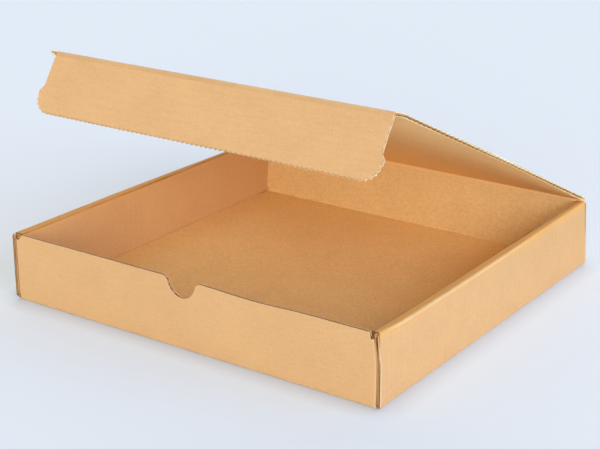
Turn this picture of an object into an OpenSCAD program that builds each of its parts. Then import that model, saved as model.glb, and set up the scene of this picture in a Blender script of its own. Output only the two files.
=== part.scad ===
// Die-cut corrugated shipping box with rolled side walls and a hinged lid with a tuck flap.
// Lengths are in millimetres. X runs along the front wall, Y to the back, Z up.
// The origin is the middle of the tray's underside.

/* [Tray] */
// Clear width inside, between the side walls
inner_w = 305; // [200:1:420]
// Clear depth inside, from front wall to back wall
inner_d = 305; // [200:1:420]
// Clear height inside, from floor to wall top
inner_h = 50; // [40:0.5:110]
// Thickness of the board
board_t = 2.6; // [1.8:0.1:3.2]
// Inside radius of every fold
fold_r = 0.5; // [0.3:0.1:0.8]

/* [Flutes at the raw edges] */
// Pitch of the fluted core
flute_pitch = 6.35; // [5:0.05:8]
// Thickness of each outer paper of the board
liner_t = 0.35; // [0.25:0.05:0.4]
// Thickness of the fluted paper
core_t = 0.3; // [0.2:0.05:0.35]
// How deep the open flutes are cut in from a raw edge
flute_deep = 6; // [2:0.5:10]

/* [Thumb notch] */
// Radius of the half-round notch in the front wall
notch_r = 12; // [9:0.5:15]
// How far the notch's centre lies under the wall top
notch_drop = 1.6; // [0.5:0.1:3]
// Radius of the notch's rounded shoulders
shoulder_r = 6; // [3:0.5:8]

/* [Side walls] */
// Play between a dust tab and each of the two wall panels
tab_play = 0.1; // [0.05:0.05:0.3]
// Length of a dust tab inside a side wall
tab_len = 92; // [60:1:95]
// Length of a lock tab in the floor
lock_len = 45; // [25:1:60]
// Distance of each lock tab's middle from the tray's middle
lock_at = 80; // [60:1:85]
// Play round a lock tab in its slot
lock_play = 0.3; // [0.1:0.05:0.6]
// Depth of the relief cut at the top of each corner fold
relief_h = 4.5; // [4.5:0.5:9]
// Width of the relief cut beside each corner fold
relief_w = 3.5; // [3:0.5:8]
// Clipped lower corners of each outer side panel
panel_clip = 3; // [1:0.5:5]

/* [Lid] */
// Width of the lid panel at its hinge
lid_w = 312; // [200:1:430]
// How much narrower the lid panel is on each side at its front crease
lid_taper = 7; // [0:0.5:9]
// Angle of the lid above level in the rest pose
lid_open = 25.6; // [0:0.1:120]
// Play at a crease that moves
crease_play = 0.3; // [0.2:0.05:0.5]
// Gap from the tucked flap's crease to the front wall's inner face
lid_short = 8.3; // [6:0.1:14]

/* [Tuck flap] */
// Angle of the flap from the lid's plane in the rest pose
flap_fold = 82; // [0:0.5:98]
// Length of the flap from its crease to its cut edge
flap_len = 46; // [30:0.5:46]
// Step in from each end of the lid's front edge to the flap's side edge
flap_step = 6.5; // [5:0.5:12]
// How far each ear stands out past the flap's side edge
ear_out = 3; // [2:0.5:5]
// Corner radius of the ears
ear_r = 13; // [6:0.5:14]
// Pitch of the zig-zag cut
tooth_pitch = 4; // [3:0.5:6]
// Depth of the zig-zag cut
tooth_deep = 1.3; // [0.8:0.1:2]

/* [Hidden] */
$fa = 6;
$fs = 0.4;
eps = 0.01;
kraft = [0.78, 0.58, 0.38];
bend_r = fold_r + board_t;
wall_w = 3 * board_t + 2 * tab_play;
box_w = inner_w + 2 * wall_w;
box_d = inner_d + 2 * board_t;
box_h = inner_h + board_t;
core_w = box_w - 2 * board_t - 2 * tab_play;
roll_d = inner_d - 0.6;
pivot_y = box_d / 2 - board_t / 2;
pivot_z = box_h + crease_play + board_t / 2;
lid_len = pivot_y + inner_d / 2 - lid_short;
lid_end = board_t / 2 + crease_play;
raw_drop = 1.2;
flute_high = board_t / 2 - liner_t - core_t / 2;
lid_flutes = floor((lid_len - 4) / flute_pitch);
flap_flutes = floor((flap_len - 3) / flute_pitch);
lid_front = lid_w / 2 - lid_taper;
flap_half = lid_front - flap_step;
ear_half = flap_half + ear_out;
kink_low = 0.56 * flap_len;
kink_out = 0.65 * flap_len;
corner_r = min(ear_r, flap_len - kink_out - 1);
notch_x = sqrt(pow(notch_r + shoulder_r, 2) - pow(shoulder_r - notch_drop, 2));
notch_low = notch_drop + (shoulder_r - notch_drop) * notch_r / (notch_r + shoulder_r);

// Height of the fluted paper's middle line at the distance u, on a board whose middle is at 0.
function flute_line(u) = flute_high * cos(360 * u / flute_pitch);

// Waste between flutes and papers, over count pitches along +X, with the board's thickness in Y.
module flute_gaps(count, sides = [0, 1]) {
    room = board_t / 2 - liner_t;
    for (i = [0 : count - 1]) {
        for (side = sides) {
            translate([(i + side / 2) * flute_pitch, 0])
                mirror([0, side])
                    polygon(concat(
                        [for (k = [0.12, 0.3, 0.5, 0.7, 0.88])
                            [k * flute_pitch, flute_line(k * flute_pitch) + core_t / 2]],
                        [[0.88 * flute_pitch, room], [0.12 * flute_pitch, room]]
                    ));
        }
    }
}

// Flutes that end in both side edges of a panel that lies towards -Y, from inner_x outwards.
module edge_flutes(start, count, inner_x, outer_x) {
    for (sx = [-1, 1]) {
        scale([sx, 1, 1])
            rotate([90, 0, -90])
                translate([start, 0, inner_x])
                    linear_extrude(outer_x - inner_x)
                        flute_gaps(count);
    }
}

// A quarter of a fold's section, centred on its bend, from +X round to +Y.
module bend(radius, width) {
    difference() {
        intersection() {
            circle(r = radius);
            square(radius + 1);
        }
        circle(r = radius - width);
    }
}

// Section of the right-hand double wall: outer panel, rolled top and inner panel.
module wall_section() {
    in_x = box_w / 2 - wall_w;
    translate([box_w / 2 - board_t, bend_r])
        square([board_t, box_h - 2 * bend_r]);
    translate([box_w / 2 - bend_r, box_h - bend_r])
        bend(bend_r, board_t);
    translate([in_x + bend_r - eps, box_h - board_t])
        square([wall_w - 2 * bend_r + 2 * eps, board_t]);
    translate([in_x + bend_r, box_h - bend_r])
        mirror([1, 0])
            bend(bend_r, board_t);
    translate([in_x, board_t + 0.2])
        square([board_t, box_h - bend_r - board_t - 0.2]);
}

// Section of the outer panel alone, with the fold into the floor.
module outer_section() {
    translate([box_w / 2 - board_t, bend_r])
        square([board_t, box_h - 2 * bend_r]);
    translate([box_w / 2 - bend_r, bend_r])
        mirror([0, 1])
            bend(bend_r, board_t);
}

// Raw top corners of one outer panel, in front of and behind its rolled top.
module raw_corners() {
    gap = (box_d - roll_d) / 2;
    for (sy = [-1, 1]) {
        scale([1, sy, 1])
            translate([box_w / 2 - board_t, box_d / 2 - gap, box_h - bend_r])
                rotate([90, 0, 90])
                    linear_extrude(board_t)
                        difference() {
                            translate([-eps, -eps])
                                square([gap + eps, bend_r - raw_drop + eps]);
                            translate([gap, bend_r - raw_drop])
                                rotate(45)
                                    square(1.6, center = true);
                        }
    }
}

// Puts a section drawn in X and Z along Y, over the stated length.
module along_y(length) {
    translate([0, length / 2, 0])
        rotate([90, 0, 0])
            linear_extrude(length)
                children();
}

// A rectangle with all four corners rounded.
module round_rect(width, depth, radius) {
    difference() {
        square([width, depth], center = true);
        for (sx = [-1, 1]) {
            for (sy = [-1, 1]) {
                translate([sx * (width / 2 - radius), sy * (depth / 2 - radius)]) {
                    difference() {
                        translate([sx * radius / 2, sy * radius / 2])
                            square(radius + eps, center = true);
                        circle(r = radius);
                    }
                }
            }
        }
    }
}

// Space inside or outside the front and back walls: upright corners and floor folds rounded.
module core_space(width, depth, low, radius) {
    intersection() {
        translate([0, 0, low])
            linear_extrude(box_h + 1)
                round_rect(width, depth, radius);
        rotate([90, 0, 90])
            translate([0, 0, -width])
                linear_extrude(2 * width)
                    translate([0, low + box_h])
                        round_rect(depth, 2 * box_h, radius);
    }
}

// Front and back walls with their dust tabs, and the floor.
module core() {
    difference() {
        core_space(core_w, box_d, 0, bend_r);
        core_space(core_w - 2 * board_t, box_d - 2 * board_t, board_t, fold_r);
        // Everything above the wall tops.
        translate([-box_w, -box_d, box_h])
            cube([2 * box_w, 2 * box_d, box_h + 5]);
        // The floor's edges, where the folds of the side walls begin.
        for (sx = [-1, 1]) {
            translate([sx * (box_w - bend_r + 0.05), 0, 0])
                cube([box_w, 2 * box_d, 2 * board_t + 1], center = true);
        }
        // The space between the front and back dust tabs of each side wall.
        translate([-box_w, -(box_d / 2 - tab_len), board_t])
            cube([2 * box_w, box_d - 2 * tab_len, box_h]);
        for (sx = [-1, 1]) {
            for (sy = [-1, 1]) {
                scale([sx, sy, 1])
                    tab_cuts();
            }
        }
    }
}

// Cuts round one dust tab: under it, over it, its slanted end and the relief at the fold.
module tab_cuts() {
    fold_x = core_w / 2 - bend_r;
    translate([fold_x, 0, board_t])
        cube([bend_r + 1, box_d / 2 - bend_r, 0.5]);
    translate([fold_x, 0, box_h - board_t - 0.5])
        cube([bend_r + 1, box_d / 2 - board_t, board_t + 1]);
    translate([core_w / 2 - board_t - 1, 0, 0])
        rotate([90, 0, 90])
            linear_extrude(board_t + 2)
                tab_end();
    translate([0, box_d / 2 + 1, 0])
        rotate([90, 0, 0])
            linear_extrude(bend_r + 2)
                relief();
}

// Waste beside the slanted end of a dust tab, drawn in Y and Z.
module tab_end() {
    end_y = box_d / 2 - tab_len;
    polygon([
        [end_y - 1, board_t],
        [end_y + 5, board_t],
        [end_y, board_t + 12],
        [end_y, box_h - 14],
        [end_y + 10, box_h],
        [end_y - 1, box_h]
    ]);
}

// Waste of the relief cut at the top of a corner fold, drawn in X and Z.
module relief() {
    fold_x = core_w / 2 - bend_r;
    polygon([
        [fold_x - relief_w, box_h + 1],
        [fold_x - relief_w, box_h],
        [fold_x - 0.4, box_h - relief_h],
        [fold_x + 0.4, box_h - relief_h],
        [core_w / 2 + 1, box_h - board_t - 1],
        [core_w / 2 + 1, box_h + 1]
    ]);
}

// Waste of the thumb notch, drawn in X and in Z from the wall top.
module notch_section() {
    translate([0, -notch_drop])
        circle(r = notch_r);
    difference() {
        translate([-notch_x, -notch_low])
            square([2 * notch_x, notch_low + 1]);
        for (sx = [-1, 1]) {
            translate([sx * notch_x, -shoulder_r])
                circle(r = shoulder_r);
        }
    }
}

// Rolled part of one double side wall with its lock tabs.
module side_wall() {
    along_y(roll_d)
        wall_section();
    for (sy = [-1, 1]) {
        translate([box_w / 2 - wall_w, sy * lock_at - lock_len / 2, 0.2])
            cube([board_t, lock_len, 2 * board_t]);
    }
}

// Slots in the floor round the lock tabs of one side wall.
module lock_slots() {
    for (sy = [-1, 1]) {
        translate([
            box_w / 2 - wall_w - lock_play,
            sy * lock_at - lock_len / 2 - lock_play,
            -1
        ])
            cube([
                board_t + 2 * lock_play,
                lock_len + 2 * lock_play,
                board_t + 1 + eps
            ]);
    }
}

// Waste under the clipped lower corners of one outer side panel, beside the floor's folds.
module clipped_corners() {
    for (sy = [-1, 1]) {
        scale([1, sy, 1])
            translate([box_w / 2 - bend_r, 0, 0])
                rotate([90, 0, 90])
                    linear_extrude(bend_r + 1)
                        polygon([
                            [box_d / 2 - panel_clip - 1, -1],
                            [box_d / 2 + 1, -1],
                            [box_d / 2 + 1, panel_clip + 1]
                        ]);
    }
}

// Open flute along the top edge of the front wall, and flutes in the rim of its thumb notch.
module front_flutes() {
    side = core_w / 2 - bend_r - 1;
    rim = notch_x + flute_deep;
    translate([0, -box_d / 2 + board_t / 2, box_h + 0.3 * flute_pitch])
        rotate([0, 90, 0]) {
            for (start = [-side, rim]) {
                translate([0, 0, start])
                    linear_extrude(side - rim)
                        flute_gaps(1, [0]);
            }
            translate([0, 0, -rim])
                linear_extrude(2 * rim)
                    flute_gaps(3);
        }
}

// Open flute along each upright raw edge of one outer side panel.
module panel_flutes() {
    for (sy = [-1, 1]) {
        scale([1, sy, 1])
            translate([box_w / 2 - board_t / 2, -box_d / 2 - 0.3 * flute_pitch, bend_r])
                rotate(90)
                    linear_extrude(box_h)
                        flute_gaps(1, [0]);
    }
}

// One folded sheet: floor, front wall, back wall and both double side walls.
module tray() {
    color(kraft) {
        difference() {
            union() {
                difference() {
                    core();
                    front_flutes();
                }
                for (sx = [-1, 1]) {
                    scale([sx, 1, 1]) {
                        along_y(box_d)
                            outer_section();
                        raw_corners();
                    }
                }
            }
            for (sx = [-1, 1]) {
                scale([sx, 1, 1]) {
                    lock_slots();
                    panel_flutes();
                    clipped_corners();
                }
            }
            translate([0, -box_d / 2 + board_t + 1, box_h])
                rotate([90, 0, 0])
                    linear_extrude(board_t + 2)
                        notch_section();
        }
        for (sx = [-1, 1]) {
            scale([sx, 1, 1])
                side_wall();
        }
    }
}

// Moves what is drawn with its crease on the origin and its panel towards -Y to the lid's place.
module at_lid() {
    translate([0, pivot_y, pivot_z])
        rotate([-lid_open, 0, 0])
            children();
}

// The lid panel, round at the crease on the back wall.
module lid() {
    color(kraft)
        at_lid() {
            difference() {
                translate([0, 0, -board_t / 2])
                    linear_extrude(board_t)
                        polygon([
                            [-lid_w / 2, 0],
                            [-lid_front, -lid_len],
                            [lid_front, -lid_len],
                            [lid_w / 2, 0]
                        ]);
                translate([-flap_half - 0.5, -lid_len - 1, -board_t])
                    cube([2 * flap_half + 1, lid_end + 1, 2 * board_t]);
                edge_flutes(4, lid_flutes, lid_front - flute_deep, lid_w / 2 + 1);
            }
            rotate([0, 90, 0])
                cylinder(r = board_t / 2, h = lid_w, center = true);
        }
}

// Points of a zig-zag along a straight line from a to b, teeth cut to the right of its run.
function zigzag(a, b) =
    let (run = norm(b - a), teeth = max(1, round(run / tooth_pitch)), dir = (b - a) / run)
    let (side = [-dir[1], dir[0]])
    [for (i = [0 : 2 * teeth - 1])
        a + dir * run * i / (2 * teeth) + side * (i % 2 == 0 ? 0 : tooth_deep)];

// Points of a zig-zag round an ear's corner, from the angle start to the angle stop.
function zigzag_arc(centre, start, stop) =
    let (teeth = max(1, round(corner_r * abs(stop - start) * PI / 180 / tooth_pitch)))
    [for (i = [0 : 2 * teeth - 1])
        let (a = start + (stop - start) * i / (2 * teeth))
        centre + (corner_r - (i % 2 == 0 ? 0 : tooth_deep)) * [cos(a), sin(a)]];

// Outline of the flap, with its crease on the X axis and the panel towards -Y.
module flap_outline() {
    corner_x = ear_half - corner_r;
    corner_y = -(flap_len - corner_r);
    polygon(concat(
        [[-flap_half, 0], [-flap_half, -kink_low], [-ear_half, -kink_out]],
        zigzag_arc([-corner_x, corner_y], 180, 270),
        zigzag([-corner_x, -flap_len], [corner_x, -flap_len]),
        zigzag_arc([corner_x, corner_y], 270, 360),
        [[ear_half, corner_y], [ear_half, -kink_out], [flap_half, -kink_low], [flap_half, 0]]
    ));
}

// The tuck flap, round at its crease on the lid's front edge.
module tuck_flap() {
    color(kraft)
        at_lid()
            translate([0, -lid_len, 0])
                rotate([flap_fold, 0, 0]) {
                    difference() {
                        translate([0, 0, -board_t / 2])
                            linear_extrude(board_t)
                                flap_outline();
                        edge_flutes(3, flap_flutes, flap_half - flute_deep, ear_half + 1);
                        // The flute that the zig-zag cut opens along its whole length.
                        edge_flutes(3 + flap_flutes * flute_pitch, 1, -eps, ear_half + 1);
                    }
                    rotate([0, 90, 0])
                        cylinder(r = board_t / 2, h = 2 * flap_half, center = true);
                }
}

tray();
lid();
tuck_flap();
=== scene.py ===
import math
import bmesh
import bpy
from mathutils import Matrix, Vector


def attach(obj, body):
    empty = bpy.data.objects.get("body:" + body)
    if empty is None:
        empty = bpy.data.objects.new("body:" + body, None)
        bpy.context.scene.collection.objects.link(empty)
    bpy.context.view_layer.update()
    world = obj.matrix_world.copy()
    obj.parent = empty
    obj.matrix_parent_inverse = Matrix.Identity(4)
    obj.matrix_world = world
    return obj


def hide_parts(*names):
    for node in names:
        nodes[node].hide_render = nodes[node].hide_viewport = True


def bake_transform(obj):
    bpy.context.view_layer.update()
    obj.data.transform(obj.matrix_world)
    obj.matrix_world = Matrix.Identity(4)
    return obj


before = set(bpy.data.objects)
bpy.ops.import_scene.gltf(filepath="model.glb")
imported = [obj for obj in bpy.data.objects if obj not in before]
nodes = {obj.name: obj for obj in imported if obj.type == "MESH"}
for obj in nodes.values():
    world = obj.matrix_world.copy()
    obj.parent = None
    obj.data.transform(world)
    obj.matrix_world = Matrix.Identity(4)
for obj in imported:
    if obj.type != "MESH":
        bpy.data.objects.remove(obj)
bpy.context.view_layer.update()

# Main sizes of the box in metres, as in the CAD source.
BOX_W = 0.321
BOX_D = 0.3102
BOX_H = 0.0526
BOARD = 0.0026
WALL = 0.008
BEND = 0.0031
ROLL_D = 0.3044
FLUTE = 0.00635
PIVOT = Vector((0.0, 0.1538, 0.0542))
LID_OPEN = math.radians(25.6)
LID_LEN = 0.298
LID_HALF = 0.156
FLAP_FOLD = math.radians(82.0)
FLAP_LEN = 0.046
FLAP_HALF = 0.1425
EAR_HALF = 0.1455
FLAP_PIVOT = PIVOT + LID_LEN * Vector((0.0, -math.cos(LID_OPEN), math.sin(LID_OPEN)))

# How far the real board departs from the straight CAD sheets.
WALL_LEAN = 0.0034
CORNER_TUCK = 0.0026
FRONT_SAG = 0.0013
LID_BOW = 0.0008
FLAP_WAVE = 0.0005

# How square the folded board stands: 2 is a round bend, more is tighter.
ROLL_SQUARE = 4.0
FOLD_SQUARE = 4.0

# The crease solids reach this far along each panel, and stand this little above it.
CREASE_REACH = 0.0026
CREASE_PROUD = 0.00005

# A face this far under both board surfaces belongs to a cut edge or an open flute.
SKIN = 0.00015
SHARP = math.radians(32.0)

# Material places in each piece's list.
INNER = 1
EDGE = 2
SIDE_EDGE = 3
FLUTE_WALL = 4

# Liner seen on a raw edge, and the distance between the torn plies of its core.
LINERS = (0.00042, 0.00042)
FIRST_PLY = 0.00062
PLY_GAP = 0.00078
DARK_RIM = 0.0009

# Board colours, in linear light.
OUTER_LIGHT = (0.772, 0.452, 0.198)
OUTER_DARK = (0.722, 0.416, 0.180)
# The inside colours are the same kraft as the outside, drawn brighter as painted fill light for the box's
# interior.
INNER_LIGHT = (0.925, 0.620, 0.264)
INNER_DARK = (0.875, 0.576, 0.238)
# The lid's inside is drawn brighter still: painted fill light for its under-lit underside.
LID_INNER_LIGHT = (1.0, 0.645, 0.285)
LID_INNER_DARK = (0.960, 0.605, 0.256)
FLECK = (0.30, 0.15, 0.06)
# Paler colour along folds and rounded edges: partly wear, partly painted highlight.
WEAR_AND_HIGHLIGHT = (0.90, 0.64, 0.36)
# Warmer tint for the rolled top's upward band: painted light.
TOP_WARM_LIGHT = (0.87, 0.445, 0.10)
# Darker band on the rolled top next to its inner edge: painted shade.
TOP_BAND_SHADE = (0.62, 0.33, 0.11)
# Dark line along the rolled top's inner edge: painted shade.
INNER_EDGE_SHADE = (0.34, 0.15, 0.04)
# Near-black for the gaps between folded panels and the rims of cut edges: painted shade.
GAP_SHADE = (0.16, 0.07, 0.025)
# The flap's outside is drawn brighter than the rest of the board: painted light.
FLAP_TONE = 1.09
LINER_LIGHT = (1.0, 0.84, 0.58)
LINER_DARK = (0.94, 0.69, 0.40)
CORES = ((0.48, 0.26, 0.10), (0.66, 0.39, 0.17))
FLAP_CORES = ((0.62, 0.37, 0.17), (0.86, 0.58, 0.30))
FRONT_CORES = ((0.20, 0.065, 0.010), (0.32, 0.110, 0.020))
PLY_DARK = (0.17, 0.075, 0.024)
# Browns for the walls of the slots in the side panels: partly the flute medium's own colour, partly painted
# shade.
FLUTE_LIGHT = (0.86, 0.55, 0.27)
FLUTE_DARK = (0.66, 0.38, 0.16)


# Camera
def make_camera():
    """The photograph's viewpoint, solved from the edges of the box."""
    place = Vector((0.5907, -0.8600, 0.4253))
    yaw = math.radians(-34.90)
    pitch = math.radians(-19.96)
    ahead = Vector((math.sin(yaw) * math.cos(pitch), math.cos(yaw) * math.cos(pitch), math.sin(pitch)))
    right = Vector((math.cos(yaw), -math.sin(yaw), 0.0))
    up = right.cross(ahead)
    data = bpy.data.cameras.new("photo_camera")
    data.sensor_width = 36.0
    data.lens = 87.18
    data.clip_start = 0.01
    camera = bpy.data.objects.new("photo_camera", data)
    turn = Matrix((right, up, -ahead)).transposed()
    camera.matrix_world = Matrix.Translation(place) @ turn.to_4x4()
    bpy.context.collection.objects.link(camera)
    bpy.context.scene.camera = camera


# Materials
class Graph:
    """Short calls to build a node tree."""

    def __init__(self, material):
        self.tree = material.node_tree
        self.tree.nodes.clear()

    def add(self, kind, **values):
        node = self.tree.nodes.new(kind)
        for name, value in values.items():
            setattr(node, name, value)
        return node

    def join(self, source, target):
        self.tree.links.new(source, target)

    def put(self, socket, value):
        if isinstance(value, bpy.types.NodeSocket):
            self.join(value, socket)
        else:
            socket.default_value = value

    def math(self, operation, a, b=0.0, c=0.0):
        node = self.add("ShaderNodeMath", operation=operation)
        for socket, value in zip(node.inputs, (a, b, c)):
            self.put(socket, value)
        return node.outputs[0]

    def mix(self, factor, a, b, blend="MIX"):
        node = self.add("ShaderNodeMix", data_type="RGBA", blend_type=blend)
        self.put(node.inputs[0], factor)
        self.put(node.inputs[6], a)
        self.put(node.inputs[7], b)
        return node.outputs[2]

    def scaled(self, vector, scale):
        node = self.add("ShaderNodeMapping")
        self.join(vector, node.inputs["Vector"])
        node.inputs["Scale"].default_value = scale
        return node.outputs[0]

    def noise(self, vector, scale, detail=3.0, rough=0.55, distort=0.0):
        node = self.add("ShaderNodeTexNoise")
        self.join(vector, node.inputs["Vector"])
        node.inputs["Scale"].default_value = scale
        node.inputs["Detail"].default_value = detail
        node.inputs["Roughness"].default_value = rough
        node.inputs["Distortion"].default_value = distort
        return node.outputs["Fac"]

    def remap(self, value, low, high, to_low=0.0, to_high=1.0):
        node = self.add("ShaderNodeMapRange")
        self.put(node.inputs[0], value)
        for socket, number in zip(node.inputs[1:5], (low, high, to_low, to_high)):
            socket.default_value = number
        return node.outputs[0]


def start_material(name):
    material = bpy.data.materials.new(name)
    material.use_nodes = True
    return material, Graph(material)


def paper_height(g, place):
    """Fibres and fine grain of uncoated paper, as one height."""
    fibres = g.noise(g.scaled(place, (110.0, 800.0, 800.0)), 1.0, 4.0, 0.65, 0.4)
    grain = g.noise(place, 1500.0, 2.0, 0.7)
    return fibres, grain, g.math("ADD", g.math("MULTIPLY", fibres, 0.5), g.math("MULTIPLY", grain, 0.5))


def paper_shader(g, colour, height, rough, distance, gloss=0.22):
    """The matt paper surface that every board material ends in."""
    bump = g.add("ShaderNodeBump")
    bump.inputs["Strength"].default_value = 0.3
    bump.inputs["Distance"].default_value = distance
    g.join(height, bump.inputs["Height"])
    shader = g.add("ShaderNodeBsdfPrincipled")
    g.join(colour, shader.inputs["Base Color"])
    g.join(bump.outputs[0], shader.inputs["Normal"])
    g.join(rough, shader.inputs["Roughness"])
    shader.inputs["Specular IOR Level"].default_value = gloss
    g.join(shader.outputs[0], g.add("ShaderNodeOutputMaterial").inputs[0])


def board_space(g, turn, centre):
    """Object coordinates turned about X into the flat lie of a panel, and its three axes."""
    spin = g.add("ShaderNodeVectorRotate", rotation_type="X_AXIS")
    g.join(g.add("ShaderNodeTexCoord").outputs["Object"], spin.inputs["Vector"])
    spin.inputs["Center"].default_value = centre
    spin.inputs["Angle"].default_value = turn
    split = g.add("ShaderNodeSeparateXYZ")
    g.join(spin.outputs[0], split.inputs[0])
    return spin.outputs[0], split.outputs


def kraft(name, light, dark, flute_axis, turn=0.0, centre=PIVOT, creases=(), grit=1.0):
    """Brown paper liner: mottling, fibres, flecks, faint flute lines and crease marks of wear, painted highlight
    and painted shade.
    """
    material, g = start_material(name)
    place, axes = board_space(g, turn, centre)
    clouds = g.noise(place, 9.0, 4.0, 0.6)
    patches = g.noise(place, 38.0, 3.0, 0.6)
    fibres, grain, height = paper_height(g, place)
    flecks = g.noise(g.scaled(place, (260.0, 900.0, 900.0)), 1.0, 2.0, 0.5, 0.8)
    body = g.math("ADD", g.math("MULTIPLY", clouds, 0.5), g.math("MULTIPLY", patches, 0.5))
    colour = g.mix(g.remap(body, 0.35, 0.65), (*dark, 1.0), (*light, 1.0))
    speckle = g.noise(place, 620.0, 2.0, 0.6)
    tint = g.math("MULTIPLY", g.remap(fibres, 0.3, 0.7, 0.955, 1.035), g.remap(grain, 0.3, 0.7, 0.965, 1.03))
    tint = g.math("MULTIPLY", tint, g.remap(speckle, 0.3, 0.7, 1.0 - 0.045 * grit, 1.0 + 0.035 * grit))
    wave = g.math("SINE", g.math("MULTIPLY", axes["XYZ".index(flute_axis)], 2.0 * math.pi / FLUTE))
    washboard = g.math("MULTIPLY", wave, g.remap(g.noise(place, 22.0, 2.0), 0.35, 0.7))
    # The flute lines also tint the colour a little: painted shade of the washboard relief that the bump draws.
    tint = g.math("MULTIPLY", tint, g.remap(washboard, -1.0, 1.0, 0.985, 1.012))
    colour = g.mix(1.0, colour, tint, "MULTIPLY")
    colour = g.mix(g.remap(flecks, 0.70, 0.80, 0.0, 0.35), colour, (*FLECK, 1.0))
    # Each crease mark mixes in its own tone; among them are wear, painted highlights and painted shade.
    for axis_a, at_a, axis_b, at_b, width, tone, share in creases:
        along_a = axes["XYZ".index(axis_a)]
        if axis_a == "X":
            along_a = g.math("ABSOLUTE", along_a)
        off_a = g.math("SUBTRACT", along_a, at_a)
        off_b = g.math("SUBTRACT", axes["XYZ".index(axis_b)], at_b)
        away = g.math("SQRT", g.math("ADD", g.math("MULTIPLY", off_a, off_a), g.math("MULTIPLY", off_b, off_b)))
        near = g.remap(away, width, width * 0.3)
        crease_wear_and_light = g.math("MULTIPLY", near, g.remap(patches, 0.3, 0.6, 0.45, 1.0))
        colour = g.mix(g.math("MULTIPLY", crease_wear_and_light, share), colour, (*tone, 1.0))
    height = g.math("ADD", height, g.math("MULTIPLY", washboard, 0.6))
    paper_shader(g, colour, height, g.remap(patches, 0.3, 0.7, 0.74, 0.88), 0.00012)
    return material


def raw_edge(
    name, depth_of, turn=0.0, centre=PIVOT, liners=LINERS, tone=1.0, cores=CORES, plies=0.0, dark=(0.0, 0.0)
):
    """A cut board edge: pale liner lines on both sides of the brown fluted core.

    liners are the widths of the outer and the inner line, and tone their brightness.
    cores are the shades of the core between them.
    plies is how strongly torn layers show in a core that is cut along its flutes,
    and dark how much shade the outer and the inner rim of the edge lie in.
    """
    material, g = start_material(name)
    place, axes = board_space(g, turn, centre)
    depth = depth_of(g, axes)
    fibres, grain, height = paper_height(g, place)
    shreds = g.noise(place, 900.0, 3.0, 0.7, 1.0)
    core = g.mix(g.remap(shreds, 0.35, 0.65), (*cores[0], 1.0), (*cores[1], 1.0))
    pale = [[min(1.0, channel * tone) for channel in shade] for shade in (LINER_DARK, LINER_LIGHT)]
    liner = g.mix(g.remap(grain, 0.3, 0.7), (*pale[0], 1.0), (*pale[1], 1.0))
    ragged = g.math("ADD", depth, g.math("MULTIPLY", g.math("SUBTRACT", shreds, 0.5), 0.00025))
    if plies:
        turns = g.math("MULTIPLY", g.math("SUBTRACT", ragged, FIRST_PLY), 2.0 * math.pi / PLY_GAP)
        core = g.mix(g.remap(g.math("COSINE", turns), 0.1, 0.9, 0.0, plies), core, (*PLY_DARK, 1.0))
    in_outer = g.remap(ragged, liners[0] + 0.00006, liners[0] - 0.00006)
    in_inner = g.remap(ragged, BOARD - liners[1] - 0.00006, BOARD - liners[1] + 0.00006)
    colour = g.mix(g.math("MAXIMUM", in_outer, in_inner), core, liner)
    # Painted shade on the outer and inner rims of the cut edge.
    if dark[0]:
        colour = g.mix(g.remap(ragged, DARK_RIM, DARK_RIM / 2.0, 0.0, dark[0]), colour, (*GAP_SHADE, 1.0))
    if dark[1]:
        near_rim = g.remap(ragged, BOARD - DARK_RIM, BOARD - DARK_RIM / 2.0, 0.0, dark[1])
        colour = g.mix(near_rim, colour, (*GAP_SHADE, 1.0))
    colour = g.mix(1.0, colour, g.remap(fibres, 0.3, 0.7, 0.93, 1.05), "MULTIPLY")
    height = g.math("ADD", height, shreds)
    paper_shader(g, colour, height, g.remap(shreds, 0.3, 0.7, 0.85, 0.97), 0.0002, 0.03)
    return material


def flat_depth(axis, low):
    """Depth through a flat board that starts at low on an axis."""
    return lambda g, axes: g.math("SUBTRACT", axes["XYZ".index(axis)], low)


def rolled_depth(g, axes):
    """Depth from the outer surface of a rolled side wall, round its two top bends."""
    side = g.math("ABSOLUTE", g.math("SUBTRACT", g.math("ABSOLUTE", axes[0]), BOX_W / 2 - WALL / 2))
    beyond_x = g.math("MAXIMUM", g.math("SUBTRACT", side, WALL / 2 - BEND), 0.0)
    beyond_z = g.math("MAXIMUM", g.math("SUBTRACT", axes[2], BOX_H - BEND), 0.0)
    reach = g.math("SQRT", g.math("ADD", g.math("MULTIPLY", beyond_x, beyond_x), g.math("MULTIPLY", beyond_z, beyond_z)))
    return g.math("SUBTRACT", BEND, reach)


# Board pieces
def cad_copy(node, name):
    """A new object with the CAD node's shape, welded into one surface."""
    mesh = nodes[node].data.copy()
    mesh.name = name
    mesh.materials.clear()
    piece = bpy.data.objects.new(name, mesh)
    bpy.context.collection.objects.link(piece)
    bm = bmesh.new()
    bm.from_mesh(mesh)
    bmesh.ops.remove_doubles(bm, verts=bm.verts, dist=2e-6)
    return piece, bm


def cut_grid(bm, axis, low, high, step):
    """Extra edge loops across an axis, so that flat faces can bend."""
    normal = Vector((0.0, 0.0, 0.0))
    normal[axis] = 1.0
    count = max(2, int(round((high - low) / step)))
    for i in range(1, count):
        point = normal * (low + (high - low) * i / count)
        everything = bm.verts[:] + bm.edges[:] + bm.faces[:]
        bmesh.ops.bisect_plane(bm, geom=everything, dist=1e-6, plane_co=point, plane_no=normal)


def finish_piece(piece, bm, materials):
    """Sharp edges where the board turns hard, smooth elsewhere, and the mesh into its object."""
    for edge in bm.edges:
        edge.smooth = len(edge.link_faces) == 2 and edge.calc_face_angle(0.0) < SHARP
    for face in bm.faces:
        face.smooth = True
    bm.to_mesh(piece.data)
    bm.free()
    for material in materials:
        piece.data.materials.append(material)
    weigh = piece.modifiers.new("weighted", "WEIGHTED_NORMAL")
    weigh.keep_sharp = True


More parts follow.
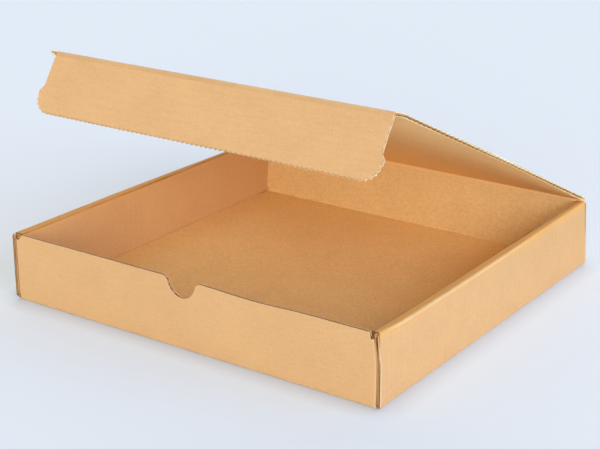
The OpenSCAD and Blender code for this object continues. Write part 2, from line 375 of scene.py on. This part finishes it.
def ramp(value, low, high):
    """0 below low, 1 above high, smooth between. Also for high below low."""
    t = min(1.0, max(0.0, (value - low) / (high - low)))
    return t * t * (3.0 - 2.0 * t)


def swell(value, low, high):
    """0 outside low..high, 1 in the middle, smooth between."""
    if value <= low or value >= high:
        return 0.0
    return math.sin(math.pi * (value - low) / (high - low)) ** 2


def square_bend(u, v, power):
    """Where a point of a round quarter bend comes to lie in a tighter one, never past its faces."""
    reach = math.hypot(u, v)
    if u <= 0.0 or v <= 0.0:
        return u, v
    tight = (u / reach) ** power + (v / reach) ** power
    scale = tight ** (-1.0 / power)
    return min(u * scale, BEND), min(v * scale, BEND)


def panel_matrix(origin, angle):
    """Takes (x, along, above) of a panel hinged at origin, angle from +Y, into the row frame."""
    along = Vector((0.0, math.cos(angle), math.sin(angle)))
    above = Vector((0.0, math.sin(angle), -math.cos(angle)))
    turn = Matrix((Vector((1.0, 0.0, 0.0)), along, above)).transposed()
    return Matrix.Translation(origin) @ turn.to_4x4()


def build_tray():
    piece, bm = cad_copy("tray", "tray_board")
    cut_grid(bm, 0, -BOX_W / 2, BOX_W / 2, 0.010)
    cut_grid(bm, 1, -BOX_D / 2, BOX_D / 2, 0.012)
    cut_grid(bm, 2, 0.0, BOX_H, 0.0066)
    bm.normal_update()
    front = -BOX_D / 2
    for face in bm.faces:
        place = face.calc_center_median()
        side = abs(place.x)
        in_front = front + SKIN < place.y < front + BOARD - SKIN and side < BOX_W / 2 - WALL + BOARD
        in_front = in_front and place.z > BEND and abs(face.normal.y) < 0.9
        roll_end = side > BOX_W / 2 - WALL - SKIN and abs(abs(place.y) - ROLL_D / 2) < SKIN
        panel_end = side > BOX_W / 2 - BOARD + SKIN and abs(place.y) > ROLL_D / 2
        on_end = abs(face.normal.y) > 0.5 and (roll_end or panel_end)
        in_panel = BOX_W / 2 - BOARD + SKIN < side < BOX_W / 2 - SKIN and BEND < place.z < BOX_H - BEND
        inside = side < BOX_W / 2 - WALL - SKIN and abs(place.y) < BOX_D / 2 - BOARD + SKIN
        inward = (Vector((0.0, 0.0, BOX_H)) - place).dot(face.normal) > 0.0
        if in_front:
            face.material_index = EDGE
        # Slot walls get the darker core browns, which include painted shade.
        elif in_panel and abs(face.normal.x) > 0.5:
            face.material_index = FLUTE_WALL
        elif on_end or in_panel:
            face.material_index = SIDE_EDGE
        elif inside and inward and place.z > BOARD / 2 and abs(face.normal.x) < 0.5:
            face.material_index = INNER
    middle_x = BOX_W / 2 - WALL / 2
    roll_x = WALL / 2 - BEND
    roll_z = BOX_H - BEND
    fold_x = BOX_W / 2 - BOARD - SKIN - BEND
    fold_y = BOX_D / 2 - BEND
    for vert in bm.verts:
        x, y, z = vert.co
        across = abs(x) - middle_x
        beyond, above = square_bend(abs(across) - roll_x, z - roll_z, ROLL_SQUARE)
        if abs(across) < WALL / 2 + SKIN and abs(across) > roll_x and z > roll_z:
            vert.co.x = math.copysign(middle_x + math.copysign(roll_x + beyond, across), x)
            vert.co.z = roll_z + above
        side_in, end_in = square_bend(abs(x) - fold_x, abs(y) - fold_y, FOLD_SQUARE)
        if fold_x < abs(x) < BOX_W / 2 - BOARD - SKIN / 2 and abs(y) > fold_y and BEND < z < roll_z:
            vert.co.x = math.copysign(fold_x + side_in, x)
            vert.co.y = math.copysign(fold_y + end_in, y)
        x, y, z = vert.co
        height = z / BOX_H
        side = 1.0 if x > 0.0 else -1.0
        lean = ramp(abs(x), 0.115, 0.150) * height
        vert.co.x -= side * lean * WALL_LEAN * ramp(y, -0.06, 0.155)
        tuck = ramp(y, front + 0.035, front) * ramp(z, BOX_H - 0.024, BOX_H) * ramp(x, 0.150, 0.157)
        vert.co.x -= CORNER_TUCK * tuck
        if y < front + BOARD + 0.0005:
            vert.co.z -= FRONT_SAG * swell(x, 0.012, 0.110) * ramp(z, 0.015, BOX_H)
    finish_piece(piece, bm, [skin_tray, skin_inside, edge_front, edge_side, core_and_shade_skin])
    return piece


def build_panel(node, name, matrix, length, half, materials, bend):
    """A lid or flap board: the CAD shape with raw edges marked, then bent by a function."""
    piece, bm = cad_copy(node, name)
    bm.transform(matrix.inverted())
    cut_grid(bm, 0, -half, half, 0.010)
    cut_grid(bm, 1, 0.0, length, 0.010)
    bm.normal_update()
    for face in bm.faces:
        place = face.calc_center_median()
        if abs(place.z) < BOARD / 2 - SKIN and place.y > BOARD / 2 + SKIN:
            face.material_index = EDGE
        elif place.z < 0.0:
            face.material_index = INNER
    for vert in bm.verts:
        vert.co.z += bend(vert.co.x, vert.co.y)
    bm.transform(matrix)
    finish_piece(piece, bm, materials)
    return piece


def build_crease(name, pivot, parent_way, fold, half, materials):
    """The bent board of a crease: one solid round the joint's axis.

    parent_way is the angle from +Y at which the parent panel leaves the axis.
    """
    skin = BOARD / 2 + CREASE_PROUD
    first = parent_way + math.pi / 2
    child_way = first + fold + math.pi / 2
    middle = first + fold / 2

    def spot(way, reach, side_way, side):
        return (
            reach * math.cos(way) + side * math.cos(side_way),
            reach * math.sin(way) + side * math.sin(side_way),
        )

    profile = [spot(parent_way, CREASE_REACH, first, skin)]
    steps = 8
    for i in range(steps + 1):
        profile.append(spot(0.0, 0.0, first + fold * i / steps, skin))
    profile.append(spot(child_way, CREASE_REACH, first + fold, skin))
    profile.append(spot(child_way, CREASE_REACH, first + fold + math.pi, skin))
    corner = skin * math.tan(fold / 2)
    profile.append(spot(child_way, corner * 1.35, first + fold + math.pi, skin))
    profile.append(spot(0.0, 0.0, middle + math.pi, skin / math.cos(fold / 2) * 0.96))
    profile.append(spot(parent_way, corner * 1.35, first + math.pi, skin))
    profile.append(spot(parent_way, CREASE_REACH, first + math.pi, skin))

    bm = bmesh.new()
    count = max(2, int(round(2 * half / 0.006)))
    rings = []
    for i in range(count + 1):
        x = -half + 2 * half * i / count
        rings.append([bm.verts.new((x, pivot.y + y, pivot.z + z)) for y, z in profile])
    for low, high in zip(rings, rings[1:]):
        for j in range(len(profile)):
            k = (j + 1) % len(profile)
            bm.faces.new((low[j], low[k], high[k], high[j]))
    bm.faces.new(rings[0][::-1])
    bm.faces.new(rings[-1])
    bmesh.ops.recalc_face_normals(bm, faces=bm.faces)
    piece = bpy.data.objects.new(name, bpy.data.meshes.new(name))
    bpy.context.collection.objects.link(piece)
    outward = Vector((0.0, math.cos(middle), math.sin(middle)))
    for face in bm.faces:
        if (face.calc_center_median() - pivot).dot(outward) < 0.0:
            face.material_index = INNER
    finish_piece(piece, bm, materials)
    way = Vector((0.0, math.cos(middle + math.pi / 2), math.sin(middle + math.pi / 2)))
    span = way * skin * math.sin(fold / 2)
    return piece, pivot - span, pivot + span


def lid_bend(x, along):
    """The open lid bows up a little between its two creases."""
    return LID_BOW * swell(along, 0.0, LID_LEN)


def flap_bend(x, along):
    """The flap's free edge isn't quite straight."""
    return FLAP_WAVE * math.sin(2.0 * math.pi * x / 0.21 + 0.6) * ramp(along, 0.004, FLAP_LEN)


# The box
make_camera()

outer_x = BOX_W / 2
inner_x = BOX_W / 2 - WALL
front_y = -BOX_D / 2
fold_x = BOX_W / 2 - BOARD
tray_creases = [
    # Rolled top band: painted warm light.
    ("X", outer_x - WALL / 2, "Z", BOX_H, 0.0065, TOP_WARM_LIGHT, 0.8),
    # Outer bend of the rolled top: painted highlight and wear.
    ("X", outer_x - 0.0006, "Z", BOX_H - 0.0006, 0.0020, WEAR_AND_HIGHLIGHT, 0.55),
    # Band beside the roll's inner edge: painted shade.
    ("X", inner_x + 0.0022, "Z", BOX_H, 0.0036, TOP_BAND_SHADE, 0.22),
    # Roll's inner edge: painted shade line.
    ("X", inner_x, "Z", BOX_H, 0.0015, INNER_EDGE_SHADE, 0.85),
    # Rounded corner bends: painted highlights and wear.
    ("X", outer_x, "Y", front_y, 0.0022, WEAR_AND_HIGHLIGHT, 0.9),
    ("X", fold_x - 0.0018, "Y", front_y, 0.0010, WEAR_AND_HIGHLIGHT, 0.1),
    ("X", outer_x, "Y", -front_y, 0.0022, WEAR_AND_HIGHLIGHT, 0.9),
    # Gaps at the corner folds: painted shade lines.
    ("X", fold_x - 0.0002, "Y", front_y + 0.0016, 0.0014, GAP_SHADE, 0.9),
    ("X", fold_x - 0.0002, "Y", -front_y - 0.0016, 0.0014, GAP_SHADE, 0.9),
    # Bottom bends: wear and painted highlight.
    ("Y", front_y + 0.0009, "Z", 0.0009, 0.0022, WEAR_AND_HIGHLIGHT, 0.35),
    ("Y", -front_y - 0.0009, "Z", 0.0009, 0.0022, WEAR_AND_HIGHLIGHT, 0.35),
    ("X", outer_x - 0.0009, "Z", 0.0009, 0.0022, WEAR_AND_HIGHLIGHT, 0.35),
]
# Fold lines of the lid and flap: wear and painted highlight.
lid_front_crease = ("Y", PIVOT.y - LID_LEN, "Z", PIVOT.z + BOARD / 2, 0.0022, WEAR_AND_HIGHLIGHT, 0.45)
lid_back_crease = ("Y", PIVOT.y, "Z", PIVOT.z + BOARD / 2, 0.0022, WEAR_AND_HIGHLIGHT, 0.35)
flap_crease_line = ("Y", FLAP_PIVOT.y, "Z", FLAP_PIVOT.z + BOARD / 2, 0.0022, WEAR_AND_HIGHLIGHT, 0.45)
flap_turn = LID_OPEN - FLAP_FOLD

outer = (OUTER_LIGHT, OUTER_DARK)
# inner holds the brighter inside colours, which carry painted fill light.
inner = (INNER_LIGHT, INNER_DARK)
skin_tray = kraft("kraft_tray_outside", *outer, "Y", creases=tray_creases)
skin_inside = kraft("kraft_tray_inside", *inner, "Y", grit=2.2)
skin_lid = kraft("kraft_lid_outside", *outer, "Y", LID_OPEN, creases=[lid_front_crease, lid_back_crease])
under_lid = kraft("kraft_lid_inside", LID_INNER_LIGHT, LID_INNER_DARK, "Y", LID_OPEN, grit=2.2)
flap_outer = [[channel * FLAP_TONE for channel in shade] for shade in outer]
skin_flap = kraft("kraft_flap_outside", *flap_outer, "Y", flap_turn, FLAP_PIVOT, creases=[flap_crease_line])
under_flap = kraft("kraft_flap_inside", *inner, "Y", flap_turn, FLAP_PIVOT, grit=2.2)
edge_front = raw_edge("edge_front", flat_depth("Y", front_y), liners=(0.0005, 0.0003), cores=FRONT_CORES)
edge_side = raw_edge("edge_side", rolled_depth, liners=(0.0, 0.0), plies=0.7, dark=(1.0, 1.0))
# The slot walls' material: core colour and painted shade.
core_and_shade_skin = kraft("kraft_core_and_shade", FLUTE_LIGHT, FLUTE_DARK, "Y", grit=2.0)
edge_lid = raw_edge("edge_lid", flat_depth("Z", PIVOT.z - BOARD / 2), LID_OPEN, tone=1.2)
edge_flap = raw_edge("edge_flap", flat_depth("Z", FLAP_PIVOT.z - BOARD / 2), flap_turn, FLAP_PIVOT, tone=0.95, cores=FLAP_CORES)

tray_board = build_tray()
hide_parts("tray")
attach(tray_board, "tray")

lid_lie = panel_matrix(PIVOT, math.pi - LID_OPEN)
lid_board = build_panel("lid", "lid_board", lid_lie, LID_LEN, LID_HALF, [skin_lid, under_lid, edge_lid], lid_bend)
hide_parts("lid")
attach(lid_board, "lid")

flap_lie = panel_matrix(FLAP_PIVOT, math.pi - LID_OPEN + FLAP_FOLD)
flap_board = build_panel("tuck_flap", "flap_board", flap_lie, FLAP_LEN, EAR_HALF, [skin_flap, under_flap, edge_flap], flap_bend)
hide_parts("tuck_flap")
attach(flap_board, "tuck_flap")

lid_fold = math.pi / 2 - LID_OPEN
lid_crease, start, end = build_crease("lid_crease", PIVOT, -math.pi / 2, lid_fold, LID_HALF - 0.0002, [skin_lid, under_lid])
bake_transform(lid_crease)

flap_crease, start, end = build_crease("flap_crease", FLAP_PIVOT, -LID_OPEN, FLAP_FOLD, FLAP_HALF, [skin_lid, under_lid])
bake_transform(flap_crease)

# Stage
FLOOR_HALF = 6.0
floor_mesh = bpy.data.meshes.new("studio_floor")
corners = [(-FLOOR_HALF, -FLOOR_HALF, 0), (FLOOR_HALF, -FLOOR_HALF, 0), (FLOOR_HALF, FLOOR_HALF, 0), (-FLOOR_HALF, FLOOR_HALF, 0)]
floor_mesh.from_pydata(corners, [], [(0, 1, 2, 3)])
floor = bpy.data.objects.new("studio_floor", floor_mesh)
bpy.context.collection.objects.link(floor)
pale = bpy.data.materials.new("studio_pale")
pale.use_nodes = True
shader = pale.node_tree.nodes["Principled BSDF"]
shader.inputs["Base Color"].default_value = (0.58, 0.60, 0.63, 1.0)
shader.inputs["Roughness"].default_value = 0.9
shader.inputs["Specular IOR Level"].default_value = 0.0
shader.inputs["Emission Color"].default_value = (0.87, 0.955, 0.98, 1.0)
# The glow stands in for a bright room, so it is weaker where the box shades the floor.
shade = pale.node_tree.nodes.new("ShaderNodeAmbientOcclusion")
shade.inputs["Distance"].default_value = 0.018
glow = pale.node_tree.nodes.new("ShaderNodeMapRange")
glow.inputs["From Min"].default_value = 0.45
glow.inputs["To Min"].default_value = 0.16
glow.inputs["To Max"].default_value = 0.370
pale.node_tree.links.new(shade.outputs["AO"], glow.inputs["Value"])
pale.node_tree.links.new(glow.outputs[0], shader.inputs["Emission Strength"])
floor_mesh.materials.append(pale)

world = bpy.data.worlds.new("studio")
bpy.context.scene.world = world
world.use_nodes = True
world.node_tree.nodes["Background"].inputs[0].default_value = (0.98, 0.99, 1.0, 1.0)
world.node_tree.nodes["Background"].inputs[1].default_value = 0.115


def soft_light(name, azimuth, elevation, spread, power, colour):
    """A wide, far softbox. Azimuth 0 stands in front of the box, 90 to its right."""
    data = bpy.data.lights.new(name, "SUN")
    data.angle = math.radians(spread)
    data.energy = power
    data.color = colour
    light = bpy.data.objects.new(name, data)
    bpy.context.collection.objects.link(light)
    a, e = math.radians(azimuth), math.radians(elevation)
    back = Vector((math.sin(a) * math.cos(e), -math.cos(a) * math.cos(e), math.sin(e)))
    light.rotation_euler = back.to_track_quat("Z", "Y").to_euler()


soft_light("key", 35.0, 17.0, 35.0, 1.97, (1.0, 1.0, 1.0))
soft_light("low_front", 0.0, 6.0, 30.0, 0.22, (1.0, 1.0, 1.0))
soft_light("right", 70.0, 25.0, 30.0, 0.92, (0.89, 1.04, 1.42))
soft_light("right_back", 120.0, 40.0, 40.0, 0.64, (0.89, 1.04, 1.42))
soft_light("left", -60.0, 50.0, 40.0, 0.18, (1.0, 1.0, 1.0))
soft_light("behind", 210.0, 38.0, 60.0, 0.95, (1.0, 1.0, 1.0))

bpy.context.scene.view_settings.view_transform = "Standard"
